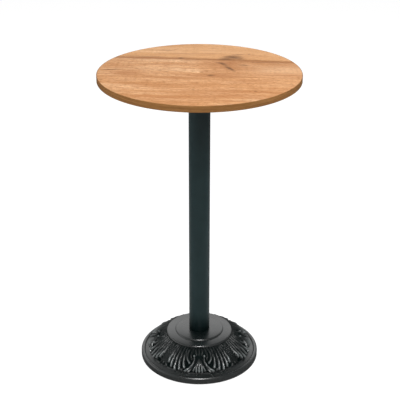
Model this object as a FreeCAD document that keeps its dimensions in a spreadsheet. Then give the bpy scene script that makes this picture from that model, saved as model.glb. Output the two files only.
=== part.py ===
import FreeCAD, Part
import math
import os

import Sketcher
from FreeCAD import Placement, Rotation, Vector

os.makedirs("parts", exist_ok=True)
doc = FreeCAD.newDocument("BarTable")

# Driving sizes, in millimetres and degrees
SIZES = {
    # Round top
    "top_diameter": 700,
    "top_thickness": 22,
    "edge_band_thickness": 2,
    "edge_band_rounding": 1.5,
    # Column and the height from the floor to the underside of the board
    "underframe_height": 1100,
    "column_diameter": 76,
    "column_wall": 2,
    "spigot_height": 15,
    "spigot_wall": 8,
    "spigot_clearance": 0.25,
    # Turned form of the base casting, from the floor up
    "base_diameter": 443,
    "base_height": 112.5,
    "floor_gap": 3,
    "rim_height": 25,
    "rim_width": 16,
    "groove_depth": 4,
    "rim_wall": 11,
    "band_width": 13.5,
    "band_rise": 9,
    "ovolo_bulge": 9,
    "ring_diameter": 249,
    "ring_lip": 4,
    "ring_edge": 6,
    "ring_drop": 2,
    "lip_drop": 2,
    "disc_diameter": 178,
    "disc_step": 5,
    "disc_drop": 1,
    "seat_diameter": 90,
    "step_rounding": 4,
    "foot_rounding": 2.5,
    "casting_wall": 7,
    "hub_diameter": 60,
    "hub_length": 37.5,
    "gusset_thickness": 7,
    "gusset_length": 40,
    # Acanthus ring
    "palmette_count": 4,
    "palmette_half_width": 7.0,
    "lobe_half_width": 8.0,
    "scroll_half_width": 5.0,
    "volute_radius": 6,
    "volute_sink": 0.25,
    # Spider under the top
    "spider_span": 340,
    "spider_height": 22,
    "spider_hub_diameter": 92,
    "arm_thickness": 8,
    "arm_root_width": 46,
    "arm_tip_width": 30,
    "web_thickness": 8,
    "web_reach": 112,
    "pocket_diameter": 34,
    "pocket_depth": 16,
    # Wood screws
    "inner_screw_radius": 126,
    "outer_screw_radius": 156,
    "screw_diameter": 4.5,
    "screw_head_diameter": 9,
    "screw_head_height": 2.6,
    "screw_length": 22,
    "screw_point": 4,
    "screw_clearance": 0.2,
    # Tie rod and its fasteners
    "rod_diameter": 12,
    "rod_hole_diameter": 13.5,
    "rod_end_bevel": 1,
    "rod_overrun": 1.5,
    "rod_tail": 8,
    "thread_clearance": 0.05,
    "nut_across_flats": 19,
    "nut_height": 10.8,
    "washer_diameter": 24,
    "washer_thickness": 2.5,
    "spring_washer_diameter": 21.1,
    "spring_washer_thickness": 2.5,
    "spring_washer_gap": 2,
    # Levelling feet
    "foot_count": 4,
    "foot_circle": 332,
    "foot_first_angle": 45,
    "foot_boss_diameter": 24,
    "foot_boss_level": 18,
    "foot_thread_depth": 30,
    "stem_diameter": 8,
    "stem_clearance": 0.05,
    "stem_top": 44,
    "stem_bevel": 1,
    "neck_diameter": 6,
    "ball_diameter": 9,
    "ball_level": 7.5,
    "ball_clearance": 0.1,
    "collar_across_flats": 13,
    "collar_level": 12.5,
    "collar_height": 5,
    "pad_diameter": 32,
    "pad_height": 10.5,
    "pad_edge_height": 4,
    "pad_bevel": 1,
    "pad_top_diameter": 17,
}

sheet = doc.addObject("Spreadsheet::Sheet", "Sizes")
for row, (alias, amount) in enumerate(SIZES.items(), start=1):
    sheet.set("A%d" % row, alias)
    sheet.set("B%d" % row, str(amount))
    sheet.setAlias("B%d" % row, alias)
doc.recompute()


def bound(text):
    """The same formula with every size named as a cell of the sheet."""
    words = []
    word = ""
    for sign in text + " ":
        if sign.isalnum() or sign == "_":
            word += sign
            continue
        words.append("Sizes." + word if word in SIZES else word)
        words.append(sign)
        word = ""
    return "".join(words).strip()


def size(text):
    """The number that a formula of sizes comes to now."""
    return float(sheet.evalExpression(bound(text)))


def new_body(name):
    body = doc.addObject("PartDesign::Body", name)
    body.AllowCompound = True
    return body


def new_sketch(body, role, name, level="0"):
    """A sketch on one of the body's own origin planes, raised to a level."""
    plane = next(f for f in body.Origin.OriginFeatures if f.Role == role)
    sketch = body.newObject("Sketcher::SketchObject", name)
    sketch.AttachmentSupport = [(plane, "")]
    sketch.MapMode = "FlatFace"
    if level != "0":
        sketch.setExpression("AttachmentOffset.Base.z", bound(level))
    doc.recompute()
    return sketch


def dimension(sketch, kind, geometry, point, formula):
    """Measures a point of the sketch from its origin."""
    if formula == "0":
        axis = -2 if kind == "DistanceX" else -1
        sketch.addConstraint(Sketcher.Constraint("PointOnObject", geometry, point, axis))
        return
    made = sketch.addConstraint(
        Sketcher.Constraint(kind, -1, 1, geometry, point, size(formula))
    )
    sketch.setExpression("Constraints[%d]" % made, bound(formula))


def outline(sketch, corners):
    """A closed outline. A corner is (x, y), or (x, y, radius, side) where an arc leads on to the next
    corner, with side 1 for an arc that bulges to the left of the way there and -1 to the right."""
    places = [Vector(size(c[0]), size(c[1]), 0) for c in corners]
    edges = []
    ends = []
    for i, corner in enumerate(corners):
        here = places[i]
        there = places[(i + 1) % len(corners)]
        if len(corner) == 2:
            edges.append(sketch.addGeometry(Part.LineSegment(here, there), False))
            ends.append((1, 2))
            continue
        radius = size(corner[2])
        chord = there - here
        half = chord.Length / 2
        rise = radius - math.sqrt(max(radius**2 - half**2, 0))
        across = Vector(-chord.y, chord.x, 0).normalize() * corner[3] * rise
        middle = here + chord * 0.5 + across
        first, last = (there, here) if corner[3] > 0 else (here, there)
        edges.append(sketch.addGeometry(Part.Arc(first, middle, last), False))
        ends.append((2, 1) if corner[3] > 0 else (1, 2))
    for i, edge in enumerate(edges):
        before = i - 1
        sketch.addConstraint(
            Sketcher.Constraint("Coincident", edges[before], ends[before][1], edge, ends[i][0])
        )
    for i, corner in enumerate(corners):
        dimension(sketch, "DistanceX", edges[i], ends[i][0], corner[0])
        dimension(sketch, "DistanceY", edges[i], ends[i][0], corner[1])
        if len(corner) == 4:
            made = sketch.addConstraint(
                Sketcher.Constraint("Radius", edges[i], size(corner[2]))
            )
            sketch.setExpression("Constraints[%d]" % made, bound(corner[2]))
    doc.recompute()


def circle(sketch, radius, x="0", y="0"):
    """A circle with its radius and centre bound to sizes."""
    spot = Vector(size(x), size(y), 0)
    made = sketch.addGeometry(Part.Circle(spot, Vector(0, 0, 1), size(radius)), False)
    rule = sketch.addConstraint(Sketcher.Constraint("Radius", made, size(radius)))
    sketch.setExpression("Constraints[%d]" % rule, bound(radius))
    if x == "0" and y == "0":
        sketch.addConstraint(Sketcher.Constraint("Coincident", made, 3, -1, 1))
    else:
        dimension(sketch, "DistanceX", made, 3, x)
        dimension(sketch, "DistanceY", made, 3, y)
    doc.recompute()


def revolve(body, sketch, name, cut=False, axis="V_Axis"):
    kind = "PartDesign::Groove" if cut else "PartDesign::Revolution"
    made = body.newObject(kind, name)
    made.Profile = sketch
    made.ReferenceAxis = (sketch, [axis])
    made.Angle = 360
    doc.recompute()
    return made


def pad(body, sketch, name, length, down=False, middle=False):
    made = body.newObject("PartDesign::Pad", name)
    made.Profile = sketch
    made.setExpression("Length", bound(length))
    made.Reversed = down
    if middle:
        made.SideType = "Symmetric"
    doc.recompute()
    return made


def pocket(body, sketch, name, depth, up=False):
    """Cuts from the sketch downwards, or upwards, and makes sure that it took something away."""
    before = body.Shape.Volume
    made = body.newObject("PartDesign::Pocket", name)
    made.Profile = sketch
    made.setExpression("Length", bound(depth))
    made.Reversed = up
    doc.recompute()
    if not made.Shape.Volume < before - 1e-3:
        raise ValueError("the cut %s takes nothing away" % name)
    return made


def ring_of(body, features, name, count):
    """Repeats features round the vertical axis."""
    axis = next(f for f in body.Origin.OriginFeatures if f.Role == "Z_Axis")
    made = body.newObject("PartDesign::PolarPattern", name)
    made.Originals = features
    made.Axis = (axis, [""])
    made.Angle = 360
    made.setExpression("Occurrences", bound(count))
    body.Tip = made
    doc.recompute()
    return made


def rounded(body, feature, name, radius, rings):
    """Rounds the circular edges that lie at the given radius and level."""
    names = []
    for number, edge in enumerate(feature.Shape.Edges, start=1):
        if not isinstance(edge.Curve, Part.Circle):
            continue
        for ring_radius, level in rings:
            near = abs(edge.Curve.Radius - size(ring_radius)) < 0.01
            if near and abs(edge.Curve.Center.z - size(level)) < 0.01:
                names.append("Edge%d" % number)
    made = body.newObject("PartDesign::Fillet", name)
    made.Base = (feature, names)
    made.setExpression("Radius", bound(radius))
    body.Tip = made
    doc.recompute()
    return made


def upright(sketch, x):
    """A vertical axis to turn a profile about, away from the middle of the table."""
    low = Vector(size(x), 0, 0)
    high = Vector(size(x), 10, 0)
    made = sketch.addGeometry(Part.LineSegment(low, high), True)
    sketch.addConstraint(Sketcher.Constraint("Vertical", made))
    dimension(sketch, "DistanceX", made, 1, x)
    sketch.addConstraint(Sketcher.Constraint("PointOnObject", made, 1, -1))
    doc.recompute()


# Levels used by more than one piece
BOARD_UNDER = "underframe_height"
TOP_LEVEL = "(underframe_height + top_thickness)"
TUBE_TOP = "(underframe_height - spider_height)"
TUBE_BORE = "(column_diameter / 2 - column_wall)"
SPIGOT = "(column_diameter / 2 - column_wall - spigot_clearance)"
HUB_LEVEL = "(base_height - hub_length)"
POCKET_FLOOR = "(underframe_height - pocket_depth)"
ARM_UNDER = "(underframe_height - arm_thickness)"

# Wood screw, point up, with its head flush in the underside of the spider arm


def screw_profile(sketch, radius, slack):
    """Half of a countersunk screw, or with slack the hole that it sits in."""
    upright(sketch, radius)
    shank = "screw_diameter / 2 + " + slack
    head = "screw_head_diameter / 2 + " + slack
    top = ARM_UNDER + " + screw_length + " + slack
    outline(
        sketch,
        [
            (radius, ARM_UNDER),
            ("%s + %s" % (radius, head), ARM_UNDER),
            ("%s + %s" % (radius, shank), ARM_UNDER + " + screw_head_height"),
            ("%s + %s" % (radius, shank), top + " - screw_point"),
            ("%s + %s * 0.2" % (radius, shank), top),
            (radius, top),
        ],
    )


def screw_forms(body, slack, cut):
    """An inner and an outer screw in one arm, then in all four arms."""
    made = []
    for place in ("inner", "outer"):
        sketch = new_sketch(body, "XZ_Plane", body.Name + "_" + place)
        screw_profile(sketch, place + "_screw_radius", slack)
        turned = revolve(body, sketch, body.Name + "_" + place + "_turned", cut, "Axis0")
        made.append(turned)
    return ring_of(body, made, body.Name + "_arms", "4")


screws = new_body("screws")
screw_forms(screws, "0 * screw_clearance", False)
screws.Label = "spider_screws"

# Table board with its screw holes, and the edge band round it

board = new_body("board")
plan = new_sketch(board, "XY_Plane", "board_plan", BOARD_UNDER)
circle(plan, "top_diameter / 2 - edge_band_thickness")
pad(board, plan, "board_disc", "top_thickness")
screw_forms(board, "screw_clearance", True)
board.Label = "tabletop_board"

band = new_body("band")
side = new_sketch(band, "XZ_Plane", "band_side")
BAND_IN = "top_diameter / 2 - edge_band_thickness"
BAND_TURN = "top_diameter / 2 - edge_band_rounding"
outline(
    side,
    [
        (BAND_IN, BOARD_UNDER),
        (BAND_TURN, BOARD_UNDER, "edge_band_rounding", -1),
        ("top_diameter / 2", BOARD_UNDER + " + edge_band_rounding"),
        ("top_diameter / 2", TOP_LEVEL + " - edge_band_rounding", "edge_band_rounding", -1),
        (BAND_TURN, TOP_LEVEL),
        (BAND_IN, TOP_LEVEL),
    ],
)
revolve(band, side, "band_ring")
band.Label = "edge_band"

# Spider: hub, four flat arms, webs under them, the spigot for the tube and the nut pocket

spider = new_body("spider")
hub = new_sketch(spider, "XY_Plane", "spider_hub_plan", TUBE_TOP)
circle(hub, "spider_hub_diameter / 2")
pad(spider, hub, "spider_hub", "spider_height")
arm = new_sketch(spider, "XY_Plane", "spider_arm_plan", ARM_UNDER)
TIP_START = "spider_span / 2 - arm_tip_width / 2"
outline(
    arm,
    [
        ("0", "arm_root_width / 2"),
        ("0", "0 - arm_root_width / 2"),
        (TIP_START, "0 - arm_tip_width / 2", "arm_tip_width / 2 + 0.001", -1),
        (TIP_START, "arm_tip_width / 2"),
    ],
)
arm_pad = pad(spider, arm, "spider_arm", "arm_thickness")
web = new_sketch(spider, "XZ_Plane", "spider_web_side")
outline(
    web,
    [
        ("0", TUBE_TOP),
        ("spider_hub_diameter / 2", TUBE_TOP),
        ("web_reach", ARM_UNDER),
        ("web_reach", ARM_UNDER + " + arm_thickness / 2"),
        ("0", ARM_UNDER + " + arm_thickness / 2"),
    ],
)
web_pad = pad(spider, web, "spider_web", "web_thickness", middle=True)
ring_of(spider, [arm_pad, web_pad], "spider_arms", "4")
seat = new_sketch(spider, "XY_Plane", "spider_spigot_plan", TUBE_TOP)
circle(seat, SPIGOT)
pad(spider, seat, "spider_spigot", "spigot_height", down=True)
recess = new_sketch(spider, "XY_Plane", "spider_recess_plan", TUBE_TOP + " - spigot_height")
circle(recess, SPIGOT + " - spigot_wall")
pocket(spider, recess, "spider_recess", "spigot_height", up=True)
well = new_sketch(spider, "XY_Plane", "spider_pocket_plan", BOARD_UNDER)
circle(well, "pocket_diameter / 2")
pocket(spider, well, "spider_pocket", "pocket_depth")
bore = new_sketch(spider, "XY_Plane", "spider_bore_plan", BOARD_UNDER)
circle(bore, "rod_hole_diameter / 2")
pocket(spider, bore, "spider_bore", "spider_height + spigot_height")
screw_forms(spider, "screw_clearance", True)
spider.Label = "top_spider"

# Column tube, clamped between the base and the spider

tube = new_body("tube")
ends = new_sketch(tube, "XY_Plane", "tube_plan", "base_height")
circle(ends, "column_diameter / 2")
circle(ends, TUBE_BORE)
pad(tube, ends, "tube_wall", TUBE_TOP + " - base_height")
tube.Label = "column_tube"

# Tie rod, its nuts and washers

ROD_TOP = POCKET_FLOOR + " + washer_thickness + nut_height + rod_overrun"
STACK = "washer_thickness + spring_washer_thickness + nut_height"
ROD_FOOT = HUB_LEVEL + " - (" + STACK + ") - rod_tail"
rod = new_body("rod")
rod_side = new_sketch(rod, "XZ_Plane", "rod_side")
outline(
    rod_side,
    [
        ("0", ROD_FOOT),
        ("rod_diameter / 2 - rod_end_bevel", ROD_FOOT),
        ("rod_diameter / 2", ROD_FOOT + " + rod_end_bevel"),
        ("rod_diameter / 2", ROD_TOP + " - rod_end_bevel"),
        ("rod_diameter / 2 - rod_end_bevel", ROD_TOP),
        ("0", ROD_TOP),
    ],
)
revolve(rod, rod_side, "rod_bar")
rod.Label = "tie_rod"


def hexagon(body, name, flats, level, height):
    """A hexagonal block standing on a level."""
    sketch = new_sketch(body, "XY_Plane", name + "_plan", level)
    corner = "(%s) / 2 / cos(30)" % flats
    corners = []
    for step in range(6):
        turn = 60 * step
        along = "%s * cos(%d)" % (corner, turn)
        across = "%s * sin(%d)" % (corner, turn) if turn % 180 else "0"
        corners.append((along, across))
    outline(sketch, corners)
    return pad(body, sketch, name, height)


def hexagon_nut(name, level, label):
    nut = new_body(name)
    hexagon(nut, name + "_block", "nut_across_flats", level, "nut_height")
    corner = "nut_across_flats / 2 / cos(30)"
    flat = "nut_across_flats / 2 * 0.97"
    fall = "(%s + 1 - %s) * tan(30)" % (corner, flat)
    crown = new_sketch(nut, "XZ_Plane", name + "_crown")
    outline(
        crown,
        [
            (flat, level + " + nut_height"),
            (corner + " + 1", level + " + nut_height - " + fall),
            (corner + " + 1", level + " + nut_height"),
        ],
    )
    revolve(nut, crown, name + "_bevel", cut=True)
    hole = new_sketch(nut, "XY_Plane", name + "_hole", level)
    circle(hole, "rod_diameter / 2 + thread_clearance")
    pocket(nut, hole, name + "_thread", "nut_height", up=True)
    nut.Label = label


def washer(name, level, diameter, thickness, label):
    body = new_body(name)
    sketch = new_sketch(body, "XY_Plane", name + "_plan", level)
    circle(sketch, diameter + " / 2")
    circle(sketch, "rod_hole_diameter / 2")
    pad(body, sketch, name + "_ring", thickness)
    body.Label = label
    return body


washer("top_washer", POCKET_FLOOR, "washer_diameter", "washer_thickness", "tie_rod_top_washer")
hexagon_nut("top_nut", POCKET_FLOOR + " + washer_thickness", "tie_rod_top_nut")
LOW_WASHER = HUB_LEVEL + " - washer_thickness"
SPRING_LEVEL = LOW_WASHER + " - spring_washer_thickness"
washer("low_washer", LOW_WASHER, "washer_diameter", "washer_thickness", "tie_rod_bottom_washer")
spring = washer(
    "spring_washer",
    SPRING_LEVEL,
    "spring_washer_diameter",
    "spring_washer_thickness",
    "tie_rod_spring_washer",
)
split = new_sketch(spring, "XY_Plane", "spring_split", SPRING_LEVEL)
outline(
    split,
    [
        ("0", "0 - spring_washer_gap / 2"),
        ("spring_washer_diameter", "0 - spring_washer_gap / 2"),
        ("spring_washer_diameter", "spring_washer_gap / 2"),
        ("0", "spring_washer_gap / 2"),
    ],
)
pocket(spring, split, "spring_slot", "spring_washer_thickness", up=True)
hexagon_nut("low_nut", SPRING_LEVEL + " - nut_height", "tie_rod_bottom_nut")

# Turned outline of the base casting. The ovolo is the convex moulding that carries the leaves

BASE_RADIUS = "base_diameter / 2"
GROOVE_RADIUS = "(base_diameter / 2 - rim_width)"
BEAD_LEVEL = "(floor_gap + rim_height - rim_width / 2)"
GROOVE_LEVEL = "(floor_gap + rim_height - groove_depth)"
GROOVE_EDGE = "(base_diameter / 2 - rim_width / 2 - sqrt(groove_depth * (rim_width - groove_depth)))"
OVOLO_FOOT_R = "(base_diameter / 2 - rim_width - band_width)"
OVOLO_FOOT_Z = "(floor_gap + rim_height - rim_width / 2 + band_rise)"
DISC_EDGE_Z = "(base_height - disc_drop)"
RING_INNER_Z = "(base_height - disc_drop - disc_step)"
RING_EDGE_Z = "(base_height - disc_drop - disc_step - ring_drop)"
OVOLO_TOP_R = "(ring_diameter / 2 - ring_lip)"
OVOLO_TOP_Z = "(%s - ring_edge - lip_drop)" % RING_EDGE_Z
SPAN_SQUARED = "((%s - %s)^2 + (%s - %s)^2)" % (
    OVOLO_FOOT_R,
    OVOLO_TOP_R,
    OVOLO_TOP_Z,
    OVOLO_FOOT_Z,
)
OVOLO_RADIUS = "((%s / 4 + ovolo_bulge^2) / (2 * ovolo_bulge))" % SPAN_SQUARED

blank = new_body("blank")
turned = new_sketch(blank, "XZ_Plane", "blank_outline")
outline(
    turned,
    [
        ("rod_hole_diameter / 2", "base_height"),
        (SPIGOT + " - spigot_wall", "base_height"),
        (SPIGOT + " - spigot_wall", "base_height + spigot_height"),
        (SPIGOT, "base_height + spigot_height"),
        (SPIGOT, "base_height"),
        ("seat_diameter / 2", "base_height"),
        ("disc_diameter / 2", DISC_EDGE_Z),
        ("disc_diameter / 2 + 2", RING_INNER_Z),
        ("ring_diameter / 2 - 2", RING_EDGE_Z),
        ("ring_diameter / 2", RING_EDGE_Z + " - ring_edge"),
        (OVOLO_TOP_R, OVOLO_TOP_Z, OVOLO_RADIUS, 1),
        (OVOLO_FOOT_R, OVOLO_FOOT_Z),
        (GROOVE_EDGE, GROOVE_LEVEL, "rim_width / 2", 1),
        (BASE_RADIUS, BEAD_LEVEL),
        (BASE_RADIUS, "floor_gap"),
        ("rod_hole_diameter / 2", "floor_gap"),
    ],
)
turned_blank = revolve(blank, turned, "blank_turned")
step_edges = rounded(
    blank,
    turned_blank,
    "blank_steps",
    "step_rounding",
    [
        ("disc_diameter / 2", DISC_EDGE_Z),
        ("ring_diameter / 2 - 2", RING_EDGE_Z),
    ],
)
rounded(blank, step_edges, "blank_foot", "foot_rounding", [(BASE_RADIUS, "floor_gap")])

# Hollow under the casting. What is left out of it becomes the hub, the gussets and the foot bosses

core = new_body("core")
hollow = new_sketch(core, "XZ_Plane", "core_outline")
MIDDLE_R = "((%s + %s) / 2 + ovolo_bulge * 0.75 - casting_wall * 0.75)" % (
    OVOLO_FOOT_R,
    OVOLO_TOP_R,
)
MIDDLE_Z = "((%s + %s) / 2 + ovolo_bulge * 0.65 - casting_wall * 0.65)" % (
    OVOLO_FOOT_Z,
    OVOLO_TOP_Z,
)
CORE_CEILING = "(base_height - disc_drop - disc_step - casting_wall)"
outline(
    hollow,
    [
        ("0", "0"),
        ("base_diameter / 2 - rim_wall", "0"),
        ("base_diameter / 2 - rim_wall", BEAD_LEVEL + " - casting_wall"),
        (GROOVE_RADIUS + " - casting_wall * 0.6", BEAD_LEVEL + " - casting_wall"),
        (OVOLO_FOOT_R + " - casting_wall", OVOLO_FOOT_Z + " - casting_wall * 0.5"),
        (MIDDLE_R, MIDDLE_Z),
        (OVOLO_TOP_R + " - casting_wall * 0.6", OVOLO_TOP_Z + " - casting_wall"),
        ("disc_diameter / 2", CORE_CEILING),
        ("0", CORE_CEILING),
    ],
)
revolve(core, hollow, "core_turned")
hub_plan = new_sketch(core, "XY_Plane", "core_hub_plan", HUB_LEVEL)
circle(hub_plan, "hub_diameter / 2")
pocket(core, hub_plan, "core_hub", "base_height", up=True)
gusset = new_sketch(core, "XY_Plane", "core_gusset_plan", HUB_LEVEL + " + hub_length / 3")
outline(
    gusset,
    [
        ("0", "0 - gusset_thickness / 2"),
        ("hub_diameter / 2 + gusset_length", "0 - gusset_thickness / 2"),
        ("hub_diameter / 2 + gusset_length", "gusset_thickness / 2"),
        ("0", "gusset_thickness / 2"),
    ],
)
gusset_cut = pocket(core, gusset, "core_gusset", "base_height", up=True)
ring_of(core, [gusset_cut], "core_gussets", "4")
FOOT_X = "foot_circle / 2 * cos(foot_first_angle)"
FOOT_Y = "foot_circle / 2 * sin(foot_first_angle)"
boss = new_sketch(core, "XY_Plane", "core_boss_plan", "foot_boss_level")
circle(boss, "foot_boss_diameter / 2", FOOT_X, FOOT_Y)
boss_cut = pocket(core, boss, "core_boss", "base_height", up=True)
ring_of(core, [boss_cut], "core_bosses", "foot_count")

# Tapped holes of the feet in the casting


def cylinder(name, radius, height, level, angle=None):
    made = doc.addObject("Part::Cylinder", name)
    made.setExpression("Radius", bound(radius))
    made.setExpression("Height", bound(height))
    made.setExpression("Placement.Base.z", bound(level))
    if angle is not None:
        made.setExpression("Placement.Base.x", bound("foot_circle / 2 * cos(%s)" % angle))
        made.setExpression("Placement.Base.y", bound("foot_circle / 2 * sin(%s)" % angle))
    return made


def foot_angle(number):
    return "foot_first_angle + 360 / foot_count * %d" % (number - 1)


FEET = range(1, int(round(size("foot_count"))) + 1)
bores = []
for number in FEET:
    bores.append(
        cylinder(
            "foot_bore_%d" % number,
            "stem_diameter / 2 + stem_clearance",
            "foot_thread_depth + 2",
            "foot_boss_level - 2",
            foot_angle(number),
        )
    )
drills = doc.addObject("Part::Compound", "casting_bores")
drills.Links = bores
doc.recompute()

# Acanthus ring. Lobes, ribs and scrolls are tapering lofts that follow the ovolo, sunk part way into it

foot_r = size(OVOLO_FOOT_R)
foot_z = size(OVOLO_FOOT_Z)
top_r = size(OVOLO_TOP_R)
top_z = size(OVOLO_TOP_Z)
ovolo_radius = size(OVOLO_RADIUS)
chord = Vector(foot_r - top_r, 0, foot_z - top_z)
inward = Vector(chord.z, 0, -chord.x).normalize()
ovolo_centre = Vector(top_r, 0, top_z) + chord * 0.5 + inward * (ovolo_radius - size("ovolo_bulge"))
top_turn = math.atan2(top_z - ovolo_centre.z, top_r - ovolo_centre.x)
foot_turn = math.atan2(foot_z - ovolo_centre.z, foot_r - ovolo_centre.x)
sink = size("volute_sink")
palmettes = int(round(size("palmette_count")))
half_sector = 180.0 / palmettes


def on_ovolo(fall, share, lift):
    """A place on the moulding: fall 0 at its top and 1 at its foot, share of the half sector from a
    palmette (0) to the middle of the gap between two palmettes (1), lift along its normal."""
    turn = top_turn + (foot_turn - top_turn) * fall
    out = ovolo_centre.x + (ovolo_radius + lift) * math.cos(turn)
    up = ovolo_centre.z + (ovolo_radius + lift) * math.sin(turn)
    angle = math.radians(share * half_sector - 90)
    return Vector(out * math.cos(angle), out * math.sin(angle), up)


# Section of a lobe in half widths: across, and outwards from the ground to a blunt crest
LOBE_SECTION = (
    (-1.0, -0.6),
    (-0.8, 0.3),
    (0.0, 0.95),
    (0.8, 0.3),
    (1.0, -0.6),
)


def lobe(stations):
    """A crested lobe lofted along the moulding. A station is (fall, share, half width)."""
    line = Part.BSplineCurve()
    line.interpolate([on_ovolo(s[0], s[1], 0) for s in stations])
    wires = []
    for fall, share, half_width in stations:
        middle = on_ovolo(fall, share, 0)
        outward = (on_ovolo(fall, share, 1) - middle).normalize()
        along = Vector(*line.tangent(line.parameter(middle))[0])
        across = along.cross(outward).normalize()
        corners = []
        for side, lift in LOBE_SECTION:
            corners.append(middle + across * (side * half_width) + outward * (lift * half_width))
        wires.append(Part.makePolygon(corners + corners[:1]))
    return Part.makeLoft(wires, True, False)


def volute(fall, share, radius):
    """The round eye of a scroll, sunk into the ground, with its poles to the sides."""
    middle = on_ovolo(fall, share, -radius * sink)
    return Part.makeSphere(radius, middle, Vector(-middle.y, middle.x, 0))


rib_width = size("palmette_half_width")
leaf_width = size("lobe_half_width")
scroll_width = size("scroll_half_width")
ball = size("volute_radius")

# Lobes of one leaf: share at the root, at the middle and at the tip, then how far down each one reaches
LEAF_LOBES = (
    (0.36, 0.36, 0.32, 0.58),
    (0.44, 0.46, 0.45, 0.74),
    (0.52, 0.57, 0.58, 0.96),
    (0.60, 0.67, 0.70, 0.99),
    (0.67, 0.76, 0.81, 0.90),
)
# Ribs of one palmette, by their share at the tip
PALMETTE_TIPS = (-0.18, -0.09, 0.0, 0.09, 0.18)


def leaf_lobe(side, root, middle, tip, reach):
    return lobe(
        [
            (-0.04, side * root, leaf_width * 0.6),
            (reach * 0.5, side * middle, leaf_width * 0.95),
            (reach * 0.88, side * tip, leaf_width),
            (reach, side * tip, leaf_width * 0.4),
        ]
    )


def palmette_rib(tip):
    reach = 0.98 - 1.6 * tip * tip
    return lobe(
        [
            (0.44, tip * 0.25, rib_width * 0.3),
            (0.68, tip * 0.7, rib_width * 0.8),
            (reach * 0.91, tip, rib_width),
            (reach, tip, rib_width * 0.4),
        ]
    )


def scroll(side):
    return lobe(
        [
            (0.36, side * 0.17, scroll_width * 0.5),
            (0.54, side * 0.165, scroll_width * 0.8),
            (0.78, side * 0.25, scroll_width),
            (0.97, side * 0.385, scroll_width * 0.4),
        ]
    )


def husk():
    return lobe(
        [
            (-0.04, 0, rib_width * 0.7),
            (0.14, 0, rib_width * 1.2),
            (0.30, 0, rib_width * 0.9),
            (0.42, 0, rib_width * 0.3),
        ]
    )


relief = [husk()]
for tip in PALMETTE_TIPS:
    relief.append(palmette_rib(tip))
for side in (-1, 1):
    relief.append(scroll(side))
    relief.append(volute(0.36, side * 0.17, ball))
    for root, middle, tip, reach in LEAF_LOBES:
        relief.append(leaf_lobe(side, root, middle, tip, reach))
pieces = []
for step in range(palmettes):
    for form in relief:
        copy = form.copy()
        copy.rotate(Vector(), Vector(0, 0, 1), step * 2 * half_sector)
        pieces.append(copy)
leafed = doc.addObject("Part::Feature", "casting_leafed")
leafed.Shape = blank.Shape.multiFuse(pieces)
hollowed = doc.addObject("Part::Cut", "casting_hollowed")
hollowed.Base = leafed
hollowed.Tool = core
casting = doc.addObject("Part::Cut", "casting")
casting.Base = hollowed
casting.Tool = drills
casting.Label = "base_casting"
doc.recompute()

# Levelling feet: a stem with ball, hexagon collar and thread, and the pad that holds the ball

STEM_TOP = "stem_top"
BALL_REACH = "sqrt((ball_diameter / 2)^2 - (neck_diameter / 2)^2)"
MOUTH = "sqrt((ball_diameter / 2 + ball_clearance)^2 - (pad_height - ball_level)^2)"
stems = []
pads = []
for number in FEET:
    stem = new_body("stem_%d" % number)
    stem_side = new_sketch(stem, "XZ_Plane", "stem_side_%d" % number)
    outline(
        stem_side,
        [
            ("0", "ball_level - ball_diameter / 2", "ball_diameter / 2", -1),
            ("ball_diameter / 2", "ball_level", "ball_diameter / 2", -1),
            ("neck_diameter / 2", "ball_level + " + BALL_REACH),
            ("neck_diameter / 2", "collar_level + collar_height / 2"),
            ("stem_diameter / 2", "collar_level + collar_height / 2"),
            ("stem_diameter / 2", "stem_top - stem_bevel"),
            ("stem_diameter / 2 - stem_bevel", "stem_top"),
            ("0", "stem_top"),
        ],
    )
    revolve(stem, stem_side, "stem_turned_%d" % number)
    hexagon(stem, "stem_collar_%d" % number, "collar_across_flats", "collar_level", "collar_height")
    stem.Label = "foot_stem_%d" % number
    stems.append(stem)
    glide = new_body("pad_%d" % number)
    pad_side = new_sketch(glide, "XZ_Plane", "pad_side_%d" % number)
    outline(
        pad_side,
        [
            ("0", "0"),
            ("pad_diameter / 2 - pad_bevel", "0"),
            ("pad_diameter / 2", "pad_bevel"),
            ("pad_diameter / 2", "pad_edge_height"),
            ("pad_top_diameter / 2", "pad_height"),
            (MOUTH, "pad_height", "ball_diameter / 2 + ball_clearance", 1),
            ("ball_diameter / 2 + ball_clearance", "ball_level", "ball_diameter / 2 + ball_clearance", 1),
            ("0", "ball_level - ball_diameter / 2 - ball_clearance"),
        ],
    )
    revolve(glide, pad_side, "pad_turned_%d" % number)
    glide.Label = "foot_pad_%d" % number
    pads.append(glide)
    for piece in (stem, glide):
        angle = foot_angle(number)
        piece.setExpression("Placement.Base.x", bound("foot_circle / 2 * cos(%s)" % angle))
        piece.setExpression("Placement.Base.y", bound("foot_circle / 2 * sin(%s)" % angle))
doc.recompute()

# Every piece is checked, then written to its own file

PIECES = (
    "tabletop_board",
    "edge_band",
    "top_spider",
    "spider_screws",
    "column_tube",
    "tie_rod",
    "tie_rod_top_nut",
    "tie_rod_top_washer",
    "tie_rod_bottom_washer",
    "tie_rod_spring_washer",
    "tie_rod_bottom_nut",
    "base_casting",
)
labels = list(PIECES)
for number in FEET:
    labels.append("foot_stem_%d" % number)
    labels.append("foot_pad_%d" % number)
for item in doc.Objects:
    if "Invalid" in item.State or "Error" in item.State:
        raise ValueError("%s did not build" % item.Name)
for label in labels:
    piece = doc.getObjectsByLabel(label)[0]
    if piece.Shape.isNull() or not piece.Shape.isValid():
        raise ValueError("%s has no valid shape" % label)
    piece.Shape.exportStep("parts/%s.step" % label)
    print(label, len(piece.Shape.Solids), "solid", round(piece.Shape.Volume / 1000.0, 2), "cm3")
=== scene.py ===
import math

import bmesh
import bpy
import numpy as np
from mathutils import Matrix, Vector


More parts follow.
